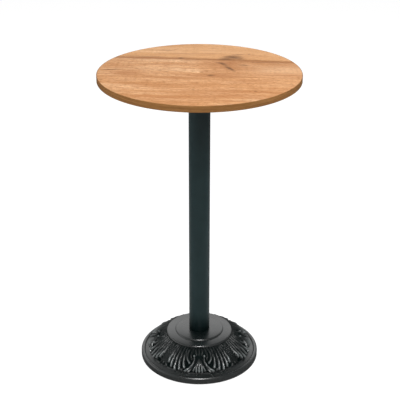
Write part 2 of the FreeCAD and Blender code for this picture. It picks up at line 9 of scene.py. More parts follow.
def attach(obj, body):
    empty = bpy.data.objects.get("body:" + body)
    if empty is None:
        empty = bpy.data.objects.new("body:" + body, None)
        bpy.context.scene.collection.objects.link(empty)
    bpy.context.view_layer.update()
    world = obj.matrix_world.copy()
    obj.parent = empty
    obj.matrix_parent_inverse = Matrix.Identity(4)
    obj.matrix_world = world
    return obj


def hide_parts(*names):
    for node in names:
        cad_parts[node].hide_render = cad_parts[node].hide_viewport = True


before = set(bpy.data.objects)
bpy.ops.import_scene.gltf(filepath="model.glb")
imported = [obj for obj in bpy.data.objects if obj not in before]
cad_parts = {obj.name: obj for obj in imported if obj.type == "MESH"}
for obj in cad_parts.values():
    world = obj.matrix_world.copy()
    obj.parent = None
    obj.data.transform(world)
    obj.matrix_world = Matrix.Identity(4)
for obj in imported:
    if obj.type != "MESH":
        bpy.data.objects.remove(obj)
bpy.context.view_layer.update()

scene = bpy.context.scene
MM = 0.001

# Main measures of the table in millimetres, as in the CAD model
TOP_UNDER, TOP_OVER = 1100, 1122
BOARD_RADIUS, BAND_RADIUS = 348, 350
TUBE_INSIDE, TUBE_OUTSIDE = 36, 38
PLATEAU, TUBE_END = 112.5, 1078


# Colours and nodes

def tone(code):
    """An sRGB hex colour as linear red, green, blue and alpha"""
    shares = [int(code[i:i + 2], 16) / 255 for i in (1, 3, 5)]
    return tuple(s / 12.92 if s <= 0.04045 else ((s + 0.055) / 1.055) ** 2.4 for s in shares) + (1.0,)


def put(tree, kind, sockets=None, stops=None, **settings):
    """Adds a node: its settings, the stops of a ramp, and its sockets as values or links

    Sockets go by name or number. A MapRange takes 0 the value, 1 and 2 the range that it comes from, 3 and 4 the
    range that it goes to. A colour Mix takes 0 the share, 6 and 7 the two colours, and gives 2 the result
    """
    node = tree.nodes.new("ShaderNode" + kind)
    for key, value in settings.items():
        setattr(node, key, value)
    for key, value in (sockets or {}).items():
        if isinstance(value, bpy.types.NodeSocket):
            tree.links.new(value, node.inputs[key])
        else:
            node.inputs[key].default_value = value
    if stops:
        ramp = node.color_ramp
        while len(ramp.elements) < len(stops):
            ramp.elements.new(0.5)
        for element, (place, code) in zip(ramp.elements, stops):
            element.position = place
            element.color = tone(code)
    return node


def bare_tree(owner):
    """The emptied node tree of a material or a world"""
    owner.use_nodes = True
    owner.node_tree.nodes.clear()
    return owner.node_tree


def blank_finish(name):
    """An empty material with its node tree, and the surface point in millimetres"""
    finish = bpy.data.materials.new(name)
    tree = bare_tree(finish)
    place = put(tree, "TexCoord").outputs["Object"]
    point = put(tree, "VectorMath", {0: place, 1: (1 / MM, 1 / MM, 1 / MM)}, operation="MULTIPLY").outputs[0]
    return finish, tree, point


# Marks of the rustic oak print and a few patches of painted light and shade, in millimetres on the board seen from
# above: across, away from the viewer, half length, half width, turn in degrees, and how strong the mark is
KNOTS = (
    (112, 172, 46, 22, 12, 0.95),
    (140, 158, 30, 14, -10, 0.80),
    (92, 150, 38, 13, -8, 0.75),
    (124, 200, 40, 12, 20, 0.60),
    (-66, 166, 14, 10, 10, 0.85),
    (178, 214, 7, 8, 0, 0.40),
    (154, 80, 22, 13, -25, 0.65),
    (38, -36, 16, 12, 5, 0.75),
    (-136, 19, 8, 8, 0, 0.45),
    (-111, 7, 7, 7, 0, 0.45),
    (181, -205, 7, 9, 0, 0.45),
    (-21, -188, 7, 8, 0, 0.45),
    (-306, 31, 42, 8, 3, 0.90),
    (-120, 266, 30, 9, -8, 0.45),
)
CRACKS = (
    (96, 60, 68, 10, -67, 0.65),
    (80, 98, 42, 9, -40, 0.60),
    (104, 40, 34, 8, -48, 0.55),
    (-160, 187, 150, 5, -5, 0.55),
    (226, 112, 108, 5, -6, 0.60),
)
BLOTCHES_AND_FRONT_SHADE = (
    (76, -42, 110, 32, -4, 0.66),
    (-242, -10, 60, 42, 0, 0.78),
    (100, 92, 66, 62, -60, 0.80),
    (-60, -48, 260, 34, 0, 0.34),
    (150, -112, 110, 24, 4, 0.45),
    (290, -42, 90, 14, 0, 0.60),
    (-300, 62, 70, 18, 0, 0.35),
    (-170, 170, 130, 13, -3, 0.75),
    (220, 120, 120, 10, -5, 0.75),
    (250, 88, 90, 9, -9, 0.50),
    (-120, 268, 120, 12, -2, 0.35),
    # Painted shade: a broad darker band over the front of the top, darker towards the viewer
    (20, -250, 320, 95, 0, 0.50),
    (-40, 226, 140, 9, -2, 0.60),
    (140, 178, 96, 36, 6, 0.25),
)
# Large faint pale patches at the right edge and at the back of the top: painted light, lighter where more light
# falls
PAINTED_LIGHT_PATCHES = (
    (300, 20, 130, 70, 0, 0.24),
    (40, 250, 260, 50, -3, 0.10),
)
# Where a knot pushes the grain aside: across, away, half length, half width, push
BENDS = (
    (118, 172, 95, 70, 34),
    (38, -36, 70, 50, -16),
    (170, 85, 60, 40, 10),
    (-66, 170, 60, 40, 9),
)
# How far the grain and the joint of two boards run off the straight, and how far away the joint lies
GRAIN_LEAN = 0.07
SEAM_LEAN = 0.10
SEAM_AWAY = 150.0


def oak_print(tree, point):
    """Colour and pore height of the oak picture, with the grain along X"""
    point = put(tree, "VectorMath", {0: point, 1: (1, 1, 0)}, operation="MULTIPLY").outputs[0]
    # The grain wanders slowly over 150 mm, and the edges of the marks shake over 14 mm
    shifts = []
    for size, detail, reach in ((150, 3.0, (16, 26, 0)), (14, 2.0, (10, 6, 0))):
        noise = put(tree, "TexNoise", {"Vector": point, "Scale": 1 / size, "Detail": detail})
        shift = put(tree, "VectorMath", {0: noise.outputs["Color"], 1: (0.5, 0.5, 0.5)}, operation="SUBTRACT")
        shift = put(tree, "VectorMath", {0: shift.outputs[0], 1: reach}, operation="MULTIPLY")
        shifts.append(shift.outputs[0])
    wander, shake = shifts
    loose = put(tree, "VectorMath", {0: point, 1: wander}, operation="ADD").outputs[0]
    rough = put(tree, "VectorMath", {0: point, 1: shake}, operation="ADD").outputs[0]

    # Grain lines: the distance across the board, bent round the knots
    axes = put(tree, "SeparateXYZ", {0: loose})
    across = put(tree, "Math", {0: axes.outputs[0], 1: GRAIN_LEAN, 2: axes.outputs[1]},
                 operation="MULTIPLY_ADD").outputs[0]
    for x, y, long, wide, push in BENDS:
        spot = put(tree, "Mapping", {0: point, 1: (x, y, 0), 3: (long, wide, 1)}, vector_type="TEXTURE")
        away = put(tree, "VectorMath", {0: spot.outputs[0]}, operation="LENGTH")
        near = put(tree, "MapRange", {0: away.outputs[1], 1: 0.0, 2: 1.6, 3: 1.0, 4: 0.0},
                   interpolation_type="SMOOTHSTEP")
        across = put(tree, "Math", {0: near.outputs[0], 1: -push, 2: across}, operation="MULTIPLY_ADD").outputs[0]

    # Growth bands, pale patches, streaks, flecks, lines and pores, by width and length in millimetres. Real pores
    # are finer, and are drawn 3 mm wide to show
    layers = []
    for width, length, detail in (
            (55, 700, 3.0), (42, 120, 3.0), (12, 260, 4.0), (9, 32, 3.0), (5, 70, 3.0), (3, 14, 2.0)):
        along = put(tree, "Math", {0: axes.outputs[0], 1: 1 / length}, operation="MULTIPLY").outputs[0]
        over = put(tree, "Math", {0: across, 1: 1 / width}, operation="MULTIPLY").outputs[0]
        spot = put(tree, "CombineXYZ", {0: along, 1: over})
        layers.append(put(tree, "TexNoise", {"Vector": spot.outputs[0], "Scale": 1.0, "Detail": detail,
                                             "Roughness": 0.6}, noise_dimensions="2D").outputs["Fac"])
    band, patch, streak, fleck, line, pore = layers
    colour = put(tree, "ValToRGB", {0: band}, stops=(
        (0.34, "#c68f5e"), (0.45, "#d6a06f"), (0.54, "#e1ad7c"), (0.65, "#edc094"))).outputs[0]
    for layer, start, full, code, share in (
            (patch, 0.50, 0.68, "#f0c79e", 0.30),
            (streak, 0.60, 0.34, "#ae7446", 0.50),
            (fleck, 0.58, 0.36, "#aa7042", 0.44),
            (line, 0.62, 0.36, "#b07a4e", 0.48),
            (pore, 0.46, 0.30, "#8e5e36", 0.70)):
        amount = put(tree, "MapRange", {0: layer, 1: start, 2: full, 3: 0.0, 4: share})
        colour = put(tree, "Mix", {0: amount.outputs[0], 6: colour, 7: tone(code)}, data_type="RGBA").outputs[2]

    # Dark joint between two boards of the picture, fading over 26 mm to each side, with a darker core of 10 mm to
    # each side; the wood behind it is paler
    wavy = put(tree, "VectorMath", {0: loose, 1: shake}, operation="ADD").outputs[0]
    joint = put(tree, "SeparateXYZ", {0: wavy})
    gap = put(tree, "Math", {0: joint.outputs[0], 1: SEAM_LEAN, 2: joint.outputs[1]},
              operation="MULTIPLY_ADD").outputs[0]
    gap = put(tree, "Math", {0: gap, 1: SEAM_AWAY}, operation="SUBTRACT").outputs[0]
    behind = put(tree, "MapRange", {0: gap, 1: -4.0, 2: 16.0, 3: 0.0, 4: 0.28}, interpolation_type="SMOOTHSTEP")
    colour = put(tree, "Mix", {0: behind.outputs[0], 6: colour, 7: tone("#ebb47a")}, data_type="RGBA").outputs[2]
    side = put(tree, "Math", {0: gap}, operation="ABSOLUTE").outputs[0]
    for reach, code, share in ((26.0, "#a16a38", 0.78), (10.0, "#7d5029", 0.58)):
        dark = put(tree, "MapRange", {0: side, 1: reach, 2: 0.0, 3: 0.0, 4: share},
                   interpolation_type="SMOOTHSTEP")
        worn = put(tree, "Math", {0: dark.outputs[0], 1: streak}, operation="MULTIPLY")
        worn = put(tree, "Math", {0: worn.outputs[0], 1: 1.7}, operation="MULTIPLY", use_clamp=True)
        colour = put(tree, "Mix", {0: worn.outputs[0], 6: colour, 7: tone(code)}, data_type="RGBA").outputs[2]

    # The marks from pale to dark, each stronger in the dark streaks of the grain
    grain = put(tree, "MapRange", {0: streak, 1: 0.32, 2: 0.68, 3: 1.25, 4: 0.45}).outputs[0]
    for marks, code, edge, where in (
            (PAINTED_LIGHT_PATCHES, "#f4d0aa", 1.5, loose), (BLOTCHES_AND_FRONT_SHADE, "#aa7246", 1.3, loose),
            (KNOTS, "#64401f", 1.25, rough), (CRACKS, "#58371c", 1.2, rough)):
        for x, y, long, wide, turn, depth in marks:
            spot = put(tree, "Mapping", {0: where, 1: (x, y, 0), 2: (0, 0, math.radians(turn)),
                                         3: (long, wide, 1)}, vector_type="TEXTURE")
            away = put(tree, "VectorMath", {0: spot.outputs[0]}, operation="LENGTH")
            amount = put(tree, "MapRange", {0: away.outputs[1], 1: edge, 2: 0.1, 3: 0.0, 4: depth},
                         interpolation_type="SMOOTHSTEP")
            amount = put(tree, "Math", {0: amount.outputs[0], 1: grain}, operation="MULTIPLY", use_clamp=True)
            colour = put(tree, "Mix", {0: amount.outputs[0], 6: colour, 7: tone(code)},
                         data_type="RGBA").outputs[2]
    return colour, pore


def melamine_oak_print():
    """Melamine-faced chipboard with a printed rustic oak: satin, warm, with a fine pressed pore"""
    finish, tree, point = blank_finish("melamine_oak_print")
    colour, pore = oak_print(tree, point)
    # The lower face is dark grey-brown instead of the print: painted shade, so that it shows dark where the base
    # reflects it
    up = put(tree, "SeparateXYZ", {0: point}).outputs[2]
    face = put(tree, "MapRange", {0: up, 1: TOP_UNDER + 0.1, 2: TOP_UNDER + 0.4, 3: 1.0, 4: 0.0})
    colour = put(tree, "Mix", {0: face.outputs[0], 6: colour, 7: tone("#38322d")}, data_type="RGBA").outputs[2]
    dull = put(tree, "MapRange", {0: pore, 1: 0.3, 2: 0.7, 3: 0.62, 4: 0.46})
    relief = put(tree, "Bump", {"Height": pore, "Strength": 0.10, "Distance": 0.0002})
    shell = put(tree, "BsdfPrincipled", {"Base Color": colour, "Roughness": dull.outputs[0],
                                         "Normal": relief.outputs[0], "IOR": 1.48, "Specular IOR Level": 0.1})
    put(tree, "OutputMaterial", {"Surface": shell.outputs[0]})
    return finish


def abs_edge_band_oak():
    """ABS edge band with a printed oak: matt, browner than the face, with fine lines that run round the edge"""
    finish, tree, point = blank_finish("abs_edge_band_oak")
    # Lines 3 mm high and 160 mm long, and pores drawn at 0.8 mm by 18 mm to show
    layers = []
    for high, long, detail in ((3.0, 160, 3.0), (0.8, 18, 2.0)):
        spot = put(tree, "Mapping", {0: point, 3: (1 / long, 1 / long, 1 / high)}).outputs[0]
        layers.append(put(tree, "TexNoise", {"Vector": spot, "Scale": 1.0, "Detail": detail}).outputs["Fac"])
    line, pore = layers
    colour = put(tree, "ValToRGB", {0: line}, stops=(
        (0.30, "#774f2a"), (0.50, "#885f34"), (0.72, "#986c41"))).outputs[0]
    dark = put(tree, "MapRange", {0: pore, 1: 0.46, 2: 0.32, 3: 0.0, 4: 0.5})
    colour = put(tree, "Mix", {0: dark.outputs[0], 6: colour, 7: tone("#664223")}, data_type="RGBA").outputs[2]
    dull = put(tree, "MapRange", {0: pore, 1: 0.3, 2: 0.7, 3: 0.62, 4: 0.48})
    relief = put(tree, "Bump", {"Height": pore, "Strength": 0.08, "Distance": 0.0002})
    shell = put(tree, "BsdfPrincipled", {"Base Color": colour, "Roughness": dull.outputs[0],
                                         "Normal": relief.outputs[0], "IOR": 1.5, "Specular IOR Level": 0.15})
    put(tree, "OutputMaterial", {"Surface": shell.outputs[0]})
    return finish


def black_powder_coat():
    """Steel with a satin black powder coat: a faint orange peel, slightly green, with a pale bloom at the sides"""
    finish, tree, point = blank_finish("black_powder_coat")
    # Orange peel 1.6 mm across, and soft clouds 60 mm across in the gloss
    peel = put(tree, "TexNoise", {"Vector": point, "Scale": 1 / 1.6, "Detail": 2.0}).outputs["Fac"]
    cloud = put(tree, "TexNoise", {"Vector": point, "Scale": 1 / 60, "Detail": 3.0}).outputs["Fac"]
    colour = put(tree, "ValToRGB", {0: cloud}, stops=((0.3, "#12282a"), (0.7, "#172e30"))).outputs[0]
    # Painted shade at the foot: from the plateau to 200 mm up, the coat turns darker and loses gloss and bloom,
    # standing in for the shade and the dark reflection of the base
    up = put(tree, "SeparateXYZ", {0: point}).outputs[2]
    foot_shade = 0.85
    foot = put(tree, "MapRange", {0: up, 1: 112.0, 2: 200.0, 3: foot_shade, 4: 0.0}, interpolation_type="SMOOTHSTEP")
    colour = put(tree, "Mix", {0: foot.outputs[0], 6: colour, 7: tone("#040909")}, data_type="RGBA").outputs[2]
    dull = put(tree, "MapRange", {0: cloud, 1: 0.3, 2: 0.7, 3: 0.38, 4: 0.46})
    gloss = put(tree, "MapRange", {0: foot.outputs[0], 1: 0.0, 2: foot_shade, 3: 0.62, 4: 0.06})
    bloom = put(tree, "MapRange", {0: foot.outputs[0], 1: 0.0, 2: foot_shade, 3: 0.24, 4: 0.0})
    relief = put(tree, "Bump", {"Height": peel, "Strength": 0.12, "Distance": 0.0003})
    shell = put(tree, "BsdfPrincipled", {"Base Color": colour, "Roughness": dull.outputs[0],
                                         "Normal": relief.outputs[0], "IOR": 1.5,
                                         "Specular IOR Level": gloss.outputs[0],
                                         "Sheen Weight": bloom.outputs[0], "Sheen Roughness": 0.4,
                                         "Sheen Tint": tone("#d0d8d8")})
    put(tree, "OutputMaterial", {"Surface": shell.outputs[0]})
    return finish


def painted_cast_iron():
    """Sand-cast iron under glossy black enamel: soft cast grain, crests lightened with a painted highlight, dull
    dark hollows
    """
    finish, tree, point = blank_finish("painted_cast_iron")
    # Sand grain 1.4 mm, cast ripple 9 mm, paint clouds 45 mm
    sand = put(tree, "TexNoise", {"Vector": point, "Scale": 1 / 1.4, "Detail": 2.0}).outputs["Fac"]
    ripple = put(tree, "TexNoise", {"Vector": point, "Scale": 1 / 9, "Detail": 2.0}).outputs["Fac"]
    cloud = put(tree, "TexNoise", {"Vector": point, "Scale": 1 / 45, "Detail": 3.0}).outputs["Fac"]
    crest = put(tree, "Attribute", attribute_name="crest").outputs["Fac"]
    hollow = put(tree, "Attribute", attribute_name="hollow").outputs["Fac"]
    colour = put(tree, "ValToRGB", {0: cloud}, stops=((0.3, "#070e0e"), (0.7, "#0b1414"))).outputs[0]
    # Painted highlight: the crests of the relief turn a lighter grey, standing in for glints of light on the
    # enamel
    crest_highlight = put(tree, "MapRange", {0: crest, 1: 0.65, 2: 1.05, 3: 0.0, 4: 0.85})
    colour = put(tree, "Mix", {0: crest_highlight.outputs[0], 6: colour, 7: tone("#686e6e")}, data_type="RGBA").outputs[2]
    dull = put(tree, "MapRange", {0: hollow, 1: 0.0, 2: 1.0, 3: 0.24, 4: 0.42})
    dull = put(tree, "Math", {0: cloud, 1: 0.08, 2: dull.outputs[0]}, operation="MULTIPLY_ADD")
    gloss = put(tree, "MapRange", {0: hollow, 1: 0.0, 2: 1.0, 3: 1.0, 4: 0.012})
    height = put(tree, "Math", {0: ripple, 1: 1.4, 2: sand}, operation="MULTIPLY_ADD")
    relief = put(tree, "Bump", {"Height": height.outputs[0], "Strength": 0.08, "Distance": 0.0003})
    shell = put(tree, "BsdfPrincipled", {"Base Color": colour, "Roughness": dull.outputs[0],
                                         "Normal": relief.outputs[0], "IOR": 1.75,
                                         "Specular IOR Level": gloss.outputs[0]})
    put(tree, "OutputMaterial", {"Surface": shell.outputs[0]})
    return finish


def zinc_plated_steel():
    """Turned steel with bright zinc plating: pale grey metal with a faint crystal bloom"""
    finish, tree, point = blank_finish("zinc_plated_steel")
    # Crystal bloom 3 mm across, turning marks 0.7 mm apart
    bloom = put(tree, "TexNoise", {"Vector": point, "Scale": 1 / 3, "Detail": 3.0}).outputs["Fac"]
    spot = put(tree, "Mapping", {0: point, 3: (1 / 12, 1 / 12, 1 / 0.7)})
    marks = put(tree, "TexNoise", {"Vector": spot.outputs[0], "Scale": 1.0, "Detail": 1.0}).outputs["Fac"]
    colour = put(tree, "ValToRGB", {0: bloom}, stops=((0.3, "#a9adb0"), (0.7, "#c6c9ca"))).outputs[0]
    dull = put(tree, "MapRange", {0: bloom, 1: 0.3, 2: 0.7, 3: 0.30, 4: 0.46})
    relief = put(tree, "Bump", {"Height": marks, "Strength": 0.15, "Distance": 0.0002})
    shell = put(tree, "BsdfPrincipled", {"Base Color": colour, "Roughness": dull.outputs[0],
                                         "Normal": relief.outputs[0], "Metallic": 1.0})
    put(tree, "OutputMaterial", {"Surface": shell.outputs[0]})
    return finish


def moulded_black_nylon():
    """Injection-moulded nylon: dull black with a fine spark-eroded grain"""
    finish, tree, point = blank_finish("moulded_black_nylon")
    # Mould grain 0.9 mm
    grain = put(tree, "TexNoise", {"Vector": point, "Scale": 1 / 0.9, "Detail": 2.0}).outputs["Fac"]
    colour = put(tree, "ValToRGB", {0: grain}, stops=((0.35, "#151616"), (0.65, "#1d1e1e"))).outputs[0]
    dull = put(tree, "MapRange", {0: grain, 1: 0.3, 2: 0.7, 3: 0.48, 4: 0.62})
    relief = put(tree, "Bump", {"Height": grain, "Strength": 0.2, "Distance": 0.0002})
    shell = put(tree, "BsdfPrincipled", {"Base Color": colour, "Roughness": dull.outputs[0],
                                         "Normal": relief.outputs[0], "IOR": 1.53})
    put(tree, "OutputMaterial", {"Surface": shell.outputs[0]})
    return finish


OAK = melamine_oak_print()
BAND = abs_edge_band_oak()
COAT = black_powder_coat()
IRON = painted_cast_iron()
ZINC = zinc_plated_steel()
NYLON = moulded_black_nylon()


# Pieces

MERGE = 0.005 * MM
ON_RING = 0.1 * MM


def finished(name, bm, finish, slot, body, *nodes, crease=40, ring=(0, 0)):
    """Closes a mesh, gives it its finish and hangs it on its body in place of the CAD nodes

    Edges over the crease angle stay sharp, and so does a ring at a radius and height in millimetres
    """
    bmesh.ops.remove_doubles(bm, verts=bm.verts, dist=MERGE)
    bmesh.ops.recalc_face_normals(bm, faces=bm.faces)
    for face in bm.faces:
        face.smooth = True
    for edge in bm.edges:
        on_ring = all(math.hypot(v.co.z - ring[1] * MM, v.co.xy.length - ring[0] * MM) < ON_RING
                      for v in edge.verts)
        edge.smooth = not on_ring and edge.calc_face_angle(0) < math.radians(crease)
    mesh = bpy.data.meshes.new(name)
    bm.to_mesh(mesh)
    bm.free()
    mesh.materials.append(finish)
    piece = bpy.data.objects.new(name, mesh)
    scene.collection.objects.link(piece)
    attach(piece, body)
    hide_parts(*nodes)


def drawn(bm, corners, start=(), end=(), closed=False):
    """An edge line through corners in millimetres: radius, height and, where it is rounded, the rounding

    It goes on from the start vertices and into the end vertices, or back to its own first corner
    """
    points = [bm.verts.new((c[0] * MM, 0, c[1] * MM)) for c in corners]
    chain = list(start) + points + list(end) + (points[:1] if closed else [])
    for first, second in zip(chain, chain[1:]):
        bm.edges.new((first, second))
    for point, corner in zip(points, corners):
        if len(corner) > 2:
            bmesh.ops.bevel(bm, geom=[point], offset=corner[2] * MM, segments=4, profile=0.5,
                            affect="VERTICES", material=-1)
    return points


def arched(bm, first, middle, angle, steps):
    """An edge line that goes on from a vertex in an arc round a middle, a radius and height in millimetres"""
    arc = bmesh.ops.spin(bm, geom=[first], cent=(middle[0] * MM, 0, middle[1] * MM), axis=(0, 1, 0),
                         dvec=(0, 0, 0), angle=angle, steps=steps)
    return [v for v in arc["geom_last"] if isinstance(v, bmesh.types.BMVert)]


def turned(bm, steps, turns=1.0):
    """Spins the whole line round the upright axis, once or for a part of a turn"""
    bmesh.ops.spin(bm, geom=bm.verts[:] + bm.edges[:], cent=(0, 0, 0), axis=(0, 0, 1), dvec=(0, 0, 0),
                   angle=2 * math.pi * turns, steps=steps, use_merge=turns == 1)


def joined(bm, other, place):
    """Adds a second mesh to the first one, at a place"""
    mesh = bpy.data.meshes.new("joined")
    other.to_mesh(mesh)
    mesh.transform(place)
    bm.from_mesh(mesh)
    bpy.data.meshes.remove(mesh)


def tabletop_board():
    """Round board, with its edge behind the band"""
    bm = bmesh.new()
    drawn(bm, ((0, TOP_UNDER), (BOARD_RADIUS, TOP_UNDER, 0.2), (BOARD_RADIUS, TOP_OVER, 0.2), (0, TOP_OVER)))
    turned(bm, steps=240)
    finished("board", bm, OAK, "oak_decor_board", "table", "tabletop_board")


def edge_band():
    """Band round the board, with rounded outer edges"""
    bm = bmesh.new()
    drawn(bm, ((BOARD_RADIUS, TOP_OVER), (BOARD_RADIUS, TOP_UNDER),
               (BAND_RADIUS, TOP_UNDER, 1.4), (BAND_RADIUS, TOP_OVER, 1.4)), closed=True)
    turned(bm, steps=240)
    finished("band", bm, BAND, "oak_edge_band", "table", "edge_band")


def column_tube():
    """Straight tube from the plateau of the base up into the cross under the top"""
    bm = bmesh.new()
    drawn(bm, ((TUBE_INSIDE, TUBE_END), (TUBE_INSIDE, PLATEAU),
               (TUBE_OUTSIDE, PLATEAU, 0.6), (TUBE_OUTSIDE, TUBE_END, 0.6)), closed=True)
    turned(bm, steps=128)
    finished("column", bm, COAT, "black_powder_coat", "table", "column_tube")


# Base casting

# The leaf moulding is an arc, in millimetres: radius and height of its top, foot and middle, then its own radius
MOULDING_TOP, MOULDING_FOOT = (120.5, 96.5), (192, 29)
ARC_R, ARC_Z, ARC = 67.1561, -31.6235, 138.7847
# Its angles at the top and the foot, and the way down it
ARC_TOP = math.atan2(MOULDING_TOP[1] - ARC_Z, MOULDING_TOP[0] - ARC_R)
ARC_FOOT = math.atan2(MOULDING_FOOT[1] - ARC_Z, MOULDING_FOOT[0] - ARC_R)
FALL = ARC * (ARC_TOP - ARC_FOOT)
# The ornament has four equal quarters, each of two mirrored halves. Steps down the moulding and across a half
HALF = 45
DOWN_STEPS, ACROSS_STEPS = 80, 90
# Bead at the rim: where its groove ends and its middle, as radius and height
GROOVE, BEAD_MIDDLE = (206.572, 24), (213.5, 20)

# Ribs of the ornament over one half. Fall runs from 0 under the ring to 1 at the foot, share from 0 at a palmette
# to 1 at the lattice. Each has four guide points (fall, share), then three half widths and three heights in
# millimetres from root to tip
RIBS = [
    # Long rib round the hollow
    ((0.02, 0.290), (0.22, 0.370), (0.46, 0.410), (0.62, 0.265), (4.2, 5.6, 5.2), (5.0, 6.5, 8.0)),
    # Low husk with two arcs on each side, inside the hollow
    ((0.02, 0.000), (0.11, 0.000), (0.20, 0.000), (0.30, 0.000), (3.6, 4.0, 1.8), (3.0, 5.0, 3.0)),
    ((0.02, 0.095), (0.12, 0.120), (0.20, 0.120), (0.29, 0.085), (3.0, 3.4, 2.0), (3.0, 4.8, 3.2)),
    ((0.02, 0.190), (0.16, 0.250), (0.36, 0.285), (0.48, 0.215), (3.2, 3.8, 3.0), (3.5, 5.5, 5.5)),
    # C-scroll with the rib below it
    ((0.37, 0.150), (0.62, 0.110), (0.78, 0.220), (0.93, 0.360), (3.4, 5.0, 5.8), (6.5, 8.0, 10.5)),
    ((0.56, 0.120), (0.70, 0.130), (0.86, 0.210), (0.96, 0.285), (1.2, 3.2, 4.4), (1.0, 4.0, 8.0)),
    # Small lobe under the leaf
    ((0.82, 0.432), (0.87, 0.436), (0.92, 0.440), (0.96, 0.446), (2.4, 3.6, 3.6), (3.0, 5.0, 6.5)),
    # Leaf over the lattice and bud under it
    ((0.02, 1.000), (0.08, 1.000), (0.15, 1.000), (0.21, 1.000), (4.6, 4.6, 1.8), (4.0, 6.0, 4.0)),
    ((0.02, 0.890), (0.08, 0.895), (0.14, 0.915), (0.20, 0.945), (3.0, 3.0, 1.6), (3.5, 5.0, 3.5)),
    ((0.80, 1.000), (0.86, 1.000), (0.91, 1.000), (0.95, 1.000), (2.0, 4.8, 3.2), (3.0, 6.5, 5.5)),
    ((0.84, 0.930), (0.88, 0.930), (0.92, 0.920), (0.96, 0.895), (2.0, 3.0, 2.2), (3.0, 5.5, 4.5)),
]
# Palmette ribs: fall and share at the root, share and fall at the tip
for start, root, tip, reach in ((0.46, 0.0, 0.0, 0.93), (0.52, 0.034, 0.074, 0.92), (0.62, 0.084, 0.150, 0.89)):
    RIBS.append(((start, root), (start + 0.10, root * 0.7 + tip * 0.3), (start + 0.22, root * 0.3 + tip * 0.7),
                 (reach, tip), (1.4, 3.6, 5.2), (2.5, 8.0, 10.5)))
# Leaf lobes: share at the root, at the middle and at the tip, and the fall at the tip
for root, middle, tip, reach in ((0.41, 0.46, 0.385, 0.80), (0.52, 0.56, 0.505, 0.90), (0.63, 0.66, 0.620, 0.95),
                                 (0.73, 0.76, 0.735, 0.88), (0.815, 0.845, 0.835, 0.76)):
    bend = middle * 2 - (root + tip) / 2
    RIBS.append(((0.02, root), (reach * 0.38, (root + bend) / 2), (reach * 0.72, (bend + tip) / 2), (reach, tip),
                 (3.6, 5.4, 6.6), (4.5, 6.0, 11.0)))
# Round eyes: fall, share, radius and height in millimetres
EYES = ((0.37, 0.150, 6.0, 10.0), (0.63, 0.265, 5.6, 10.5))
# How round ribs and eyes are in section, and how firmly the highest one wins where they meet
RIB_ROUND, EYE_ROUND, FIRM = 0.7, 0.6, 6
# Folds that make the ribs swell and sink: length in millimetres, depth, lean across a half, and start
FOLD, FOLD_DEPTH, FOLD_LEAN, FOLD_START = 34, 0.13, 3.3, 0.45
# Lattice of raised lines: spacing, half width and height in millimetres, and how steep the lines are
LATTICE, LATTICE_WIDE, LATTICE_HIGH, LATTICE_STEEP = 8.5, 2.2, 3.8, 1.25
# Heights in millimetres for the paint: lower than this, or by this much lower than what is round it, a place is a
# hollow, and from this height on it is a crest
HOLLOW_UNDER, HOLLOW_BY, CREST = 3, 1.4, 9


def rising(value, start, length, most=1):
    """Rises from 0 at a start by 1 over a length, backwards where that is negative, and stops at the most"""
    return np.clip((value - start) / length, 0, most)


def half_width(fall):
    """Length in millimetres that a half of the ornament takes up round the moulding"""
    return math.radians(HALF) * (ARC_R + ARC * np.cos(ARC_TOP + (ARC_FOOT - ARC_TOP) * fall))


def rib_height(fall, share, rib):
    """Height in millimetres that one rib gives at each place of the moulding"""
    a, b, c, d = (np.array(point) for point in rib[:4])
    t = np.linspace(0, 1, 40)[:, None]
    line = a * (1 - t) ** 3 + 3 * b * t * (1 - t) ** 2 + 3 * c * t * t * (1 - t) + d * t ** 3
    t = (t[1:, 0] + t[:-1, 0]) / 2
    half = np.interp(t, (0, 0.5, 1), rib[4])
    lift = np.interp(t, (0, 0.5, 1), rib[5])
    reach = half_width(fall)[:, None]
    step_x = (line[1:, 1] - line[:-1, 1])[None] * reach
    step_y = (line[1:, 0] - line[:-1, 0])[None] * FALL
    from_x = (share[:, None] - line[None, :-1, 1]) * reach
    from_y = (fall[:, None] - line[None, :-1, 0]) * FALL
    on = np.clip((from_x * step_x + from_y * step_y) / (step_x ** 2 + step_y ** 2), 0, 1)
    away = np.hypot(from_x - on * step_x, from_y - on * step_y) / half
    best = away.argmin(axis=1)
    away = away[np.arange(len(fall)), best]
    return lift[best] * np.clip(1 - away ** 2, 0, None) ** RIB_ROUND


def ornament(fall, share):
    """Height of the whole relief in millimetres over the plain moulding"""
    total = np.zeros(len(fall))
    reach = half_width(fall)
    # What lies near a border also reaches over from the mirrored half
    for mirrored in (share, -share, 2 - share):
        for rib in RIBS:
            total += rib_height(fall, mirrored, rib) ** FIRM
        for eye_fall, eye_share, radius, height in EYES:
            away = np.hypot((mirrored - eye_share) * reach, (fall - eye_fall) * FALL) / radius
            total += (height * np.clip(1 - away ** 2, 0, None) ** EYE_ROUND) ** FIRM
    folds = np.sin(2 * math.pi * (fall * FALL / FOLD + share * FOLD_LEAN - FOLD_START))
    ribs = total ** (1 / FIRM) * (1 + FOLD_DEPTH * folds)
    # The lattice lies between the leaves
    x = (share - 1) * reach
    y = (fall - 0.5) * FALL
    lines = np.zeros(len(fall))
    for turn in (1, -1):
        off = np.abs(((x * LATTICE_STEEP + turn * y) / math.sqrt(2) / LATTICE + 0.5) % 1 - 0.5) * LATTICE
        lines = np.maximum(lines, LATTICE_HIGH * np.clip(1 - (off / LATTICE_WIDE) ** 2, 0, None))
    inside = rising(share, 0.87, 0.03) * rising(fall, 0.10, 0.04) * rising(fall, 0.88, -0.04)
    # The relief ends level with the ring and with the foot
    return np.maximum(ribs, lines * inside) * (rising(fall, 0, 0.03) * rising(fall, 1, -0.03))


def evened(heights, times):
    """A grid of heights, each evened out with its neighbours, a number of times"""
    for _ in range(times):
        wider = np.pad(heights, 1, mode="reflect")
        wider = (wider[:-2] + 2 * wider[1:-1] + wider[2:]) / 4
        heights = (wider[:, :-2] + 2 * wider[:, 1:-1] + wider[:, 2:]) / 4
    return heights


